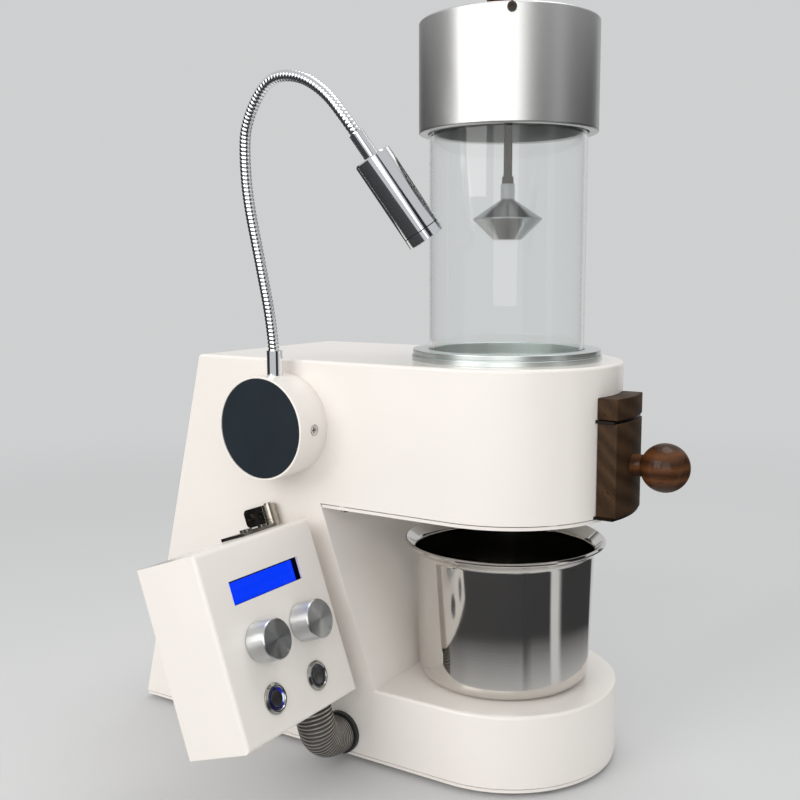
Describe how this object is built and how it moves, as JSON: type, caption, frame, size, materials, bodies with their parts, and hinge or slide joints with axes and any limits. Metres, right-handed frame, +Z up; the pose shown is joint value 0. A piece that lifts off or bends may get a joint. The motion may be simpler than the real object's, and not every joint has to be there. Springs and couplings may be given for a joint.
{
  "type": "coffee bean roaster",
  "caption": "Hot-air coffee roaster: C-shaped stand, glass chamber with lift-off cap, hinged control box, gooseneck lamp, wood-fronted gate and steel cup.",
  "frame": {"origin": "on the floor under the glass chamber's axis", "axes": "+Z up; +X to the nose with the wooden gate; -Y to the side with the lamp and the control box"},
  "size_m": [0.3836, 0.2685, 0.507],
  "materials": {
    "white_paint": "warm white gloss powder coat",
    "dark_cover": "dark satin disc",
    "seat_aluminium": "pale anodised, turned",
    "cap_aluminium": "fine bead-blasted and brushed",
    "clear_glass": "clear borosilicate glass",
    "lens_glass": "lens",
    "walnut": "oiled walnut, straight grain",
    "ball_wood": "polished reddish wood",
    "gate_steel": "heat-tinted steel sheet",
    "mirror_steel": "mirror-polished stainless steel",
    "chrome_neck": "bright chrome",
    "spun_aluminium": "spun face, satin side",
    "button_steel": "polished nickel",
    "display_glass": "lit blue display",
    "display_black": "black plastic frame",
    "hinge_nickel": "dark nickel",
    "screw_steel": "zinc plated",
    "black_rubber": "soft rubber",
    "white_silicone": "silicone seal",
    "conduit_steel": "galvanised corrugated steel",
    "black_plastic": "moulded plastic",
    "duct_steel": "galvanised sheet",
    "heater_mica": "mica former with resistance wire",
    "blower_plastic": "glass-filled nylon",
    "motor_metal": "motor can",
    "board_green": "circuit board and parts"
  },
  "bodies": {
    "stand": {"casing": "white_paint", "arm_bottom_plate": "white_paint", "base_bottom_plate": "white_paint", "rear_cover": "white_paint", "power_inlet": "black_plastic", "feet": "black_rubber", "casing_screws": "screw_steel", "glass_seat_ring": "seat_aluminium", "glass_gasket": "white_silicone", "bean_funnel": "gate_steel", "air_chamber": "gate_steel", "heater_housing": "duct_steel", "heater_coil": "heater_mica", "blower_housing": "blower_plastic", "blower_motor": "motor_metal", "air_duct": "duct_steel", "thermocouple": "duct_steel", "power_board": "board_green", "upper_wood_block": "walnut", "lamp_base_housing": "white_paint", "lamp_base_cover": "dark_cover", "lamp_set_screw": "screw_steel", "lamp_ferrule": "chrome_neck", "body_hinge_leaf": "hinge_nickel", "body_hinge_screws": "screw_steel", "hinge_pin": "hinge_nickel", "conduit_body_gland": "black_plastic", "conduit": "conduit_steel"},
    "control_box": {"control_box_shell": "white_paint", "control_box_back": "white_paint", "lcd_module": "display_black", "lcd_screen": "display_glass", "potentiometers": "duct_steel", "left_button_housing": "button_steel", "right_button_housing": "button_steel", "box_hinge_leaf": "hinge_nickel", "box_hinge_screws": "screw_steel", "conduit_box_gland": "black_plastic"},
    "left_knob_turner": {"left_knob": "spun_aluminium"},
    "right_knob_turner": {"right_knob": "spun_aluminium"},
    "left_button": {"left_button_plunger": "button_steel"},
    "right_button": {"right_button_plunger": "button_steel"},
    "gate": {"discharge_gate": "gate_steel", "gate_wood_block": "walnut", "ball_knob": "ball_wood"},
    "glass": {"glass_tube": "clear_glass"},
    "chamber_cap": {"cap_shell": "cap_aluminium", "cap_screen": "cap_aluminium", "cap_screws": "screw_steel", "cap_top_knob": "ball_wood", "deflector_rod": "spun_aluminium", "deflector_cone": "spun_aluminium"},
    "catch_cup": {"cup": "mirror_steel"},
    "blower_rotor": {"blower_wheel": "blower_plastic"},
    "neck_lower": {"gooseneck_lower": "chrome_neck"},
    "neck_upper": {"gooseneck_upper": "chrome_neck"},
    "spot_lamp": {"lamp_neck_sleeve": "chrome_neck", "lamp_head": "chrome_neck", "lamp_bezel": "chrome_neck", "lamp_lens": "lens_glass"}
  },
  "joints": [
    {"name": "control_box_swing", "type": "hinge", "parent": "stand", "child": "control_box", "pos_m": [-0.13342, -0.0805, 0.15909], "axis": [0.3305, 0, -0.9438], "range_deg": [-15, 45], "deforming": ["conduit"]},
    {"name": "left_knob_turn", "type": "hinge", "parent": "control_box", "child": "left_knob_turner", "pos_m": [-0.07557, -0.1615, 0.10794], "axis": [0.9438, 0, 0.3305], "range_deg": [-150, 150]},
    {"name": "right_knob_turn", "type": "hinge", "parent": "control_box", "child": "right_knob_turner", "pos_m": [-0.07557, -0.1215, 0.10794], "axis": [0.9438, 0, 0.3305], "range_deg": [-150, 150]},
    {"name": "left_button_press", "type": "slide", "parent": "control_box", "child": "left_button", "axis": [-0.9438, 0, -0.3305], "range_m": [0, 0.002], "stiffness_N_per_m": 800, "springref_m": -0.001},
    {"name": "right_button_press", "type": "slide", "parent": "control_box", "child": "right_button", "axis": [-0.9438, 0, -0.3305], "range_m": [0, 0.002], "stiffness_N_per_m": 800, "springref_m": -0.001},
    {"name": "gate_pull", "type": "slide", "parent": "stand", "child": "gate", "axis": [1, 0, 0], "range_m": [0, 0.046]},
    {"name": "glass_lift", "type": "slide", "parent": "stand", "child": "glass", "axis": [0, 0, 1], "range_m": [0, 0.03]},
    {"name": "cap_lift", "type": "slide", "parent": "glass", "child": "chamber_cap", "axis": [0, 0, 1], "range_m": [0, 0.1]},
    {"name": "cup_slide", "type": "slide", "parent": "stand", "child": "catch_cup", "axis": [1, 0, 0], "range_m": [0, 0.145]},
    {"name": "blower_spin", "type": "hinge", "parent": "stand", "child": "blower_rotor", "pos_m": [-0.156, 0, 0.095], "axis": [0, 1, 0], "continuous": true},
    {"name": "neck_base_bend", "type": "hinge", "parent": "stand", "child": "neck_lower", "pos_m": [-0.1214, -0.0875, 0.2695], "axis": [0, 1, 0], "range_deg": [-12, 12]},
    {"name": "neck_top_bend", "type": "hinge", "parent": "neck_lower", "child": "neck_upper", "pos_m": [-0.1368, -0.0935, 0.402], "axis": [0, 1, 0], "range_deg": [-15, 15]},
    {"name": "lamp_head_tilt", "type": "hinge", "parent": "neck_upper", "child": "spot_lamp", "pos_m": [-0.0506, -0.096, 0.3998], "axis": [-0.617, 0.7869, 0], "range_deg": [-13, 20]}
  ]
}
